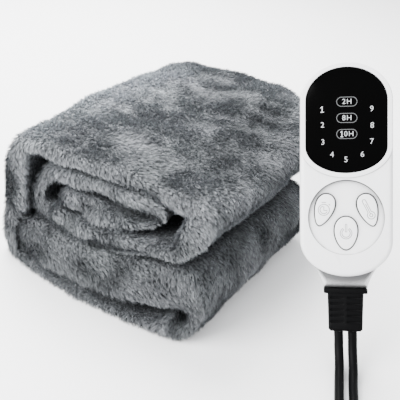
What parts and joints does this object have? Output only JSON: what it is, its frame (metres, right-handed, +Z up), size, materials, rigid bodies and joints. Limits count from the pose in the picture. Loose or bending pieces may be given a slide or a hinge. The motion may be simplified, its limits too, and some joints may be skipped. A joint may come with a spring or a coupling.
{
  "type": "electric heated blanket",
  "caption": "Folded grey plush electric heated blanket with its control handset, mains lead and blanket lead; the handset's push buttons press in and spring back.",
  "frame": {"origin": "on the surface that the part stands on, under the middle of the box round the blanket and the handset", "axes": "+Z up, +X along the folded end face from the tall left fold towards the handset, +Y along the folds from the folded end face to the back"},
  "size_m": [0.434, 0.3848, 0.1948],
  "materials": {
    "plush": "mid grey brushed plush with lighter pile tips",
    "shell": "satin white moulded plastic",
    "display": "polished black display window",
    "rubber": "matte black moulded rubber",
    "pin": "nickel plated"
  },
  "bodies": {
    "package": {"blanket": "plush", "handset_front": "shell", "handset_back": "shell", "display_window": "display", "cord_boot": "rubber", "mains_lead": "rubber", "mains_lead_coil": "rubber", "mains_lead_tail": "rubber", "mains_plug": "rubber", "mains_pin_left": "pin", "mains_pin_right": "pin", "blanket_lead": "rubber", "blanket_lead_coil": "rubber", "blanket_lead_tail": "rubber", "blanket_lead_connector": "rubber"},
    "timer_key": {"timer_button": "shell"},
    "heat_key": {"heat_button": "shell"},
    "power_key": {"power_button": "shell"}
  },
  "joints": [
    {"name": "timer_press", "type": "slide", "parent": "package", "child": "timer_key", "axis": [-0.2456, 0.8346, -0.493], "range_m": [0, 0.0009], "stiffness_N_per_m": 800, "springref_m": -0.0005},
    {"name": "heat_press", "type": "slide", "parent": "package", "child": "heat_key", "axis": [-0.2456, 0.8346, -0.493], "range_m": [0, 0.0009], "stiffness_N_per_m": 800, "springref_m": -0.0005},
    {"name": "power_press", "type": "slide", "parent": "package", "child": "power_key", "axis": [-0.2456, 0.8346, -0.493], "range_m": [0, 0.0009], "stiffness_N_per_m": 800, "springref_m": -0.0005}
  ]
}
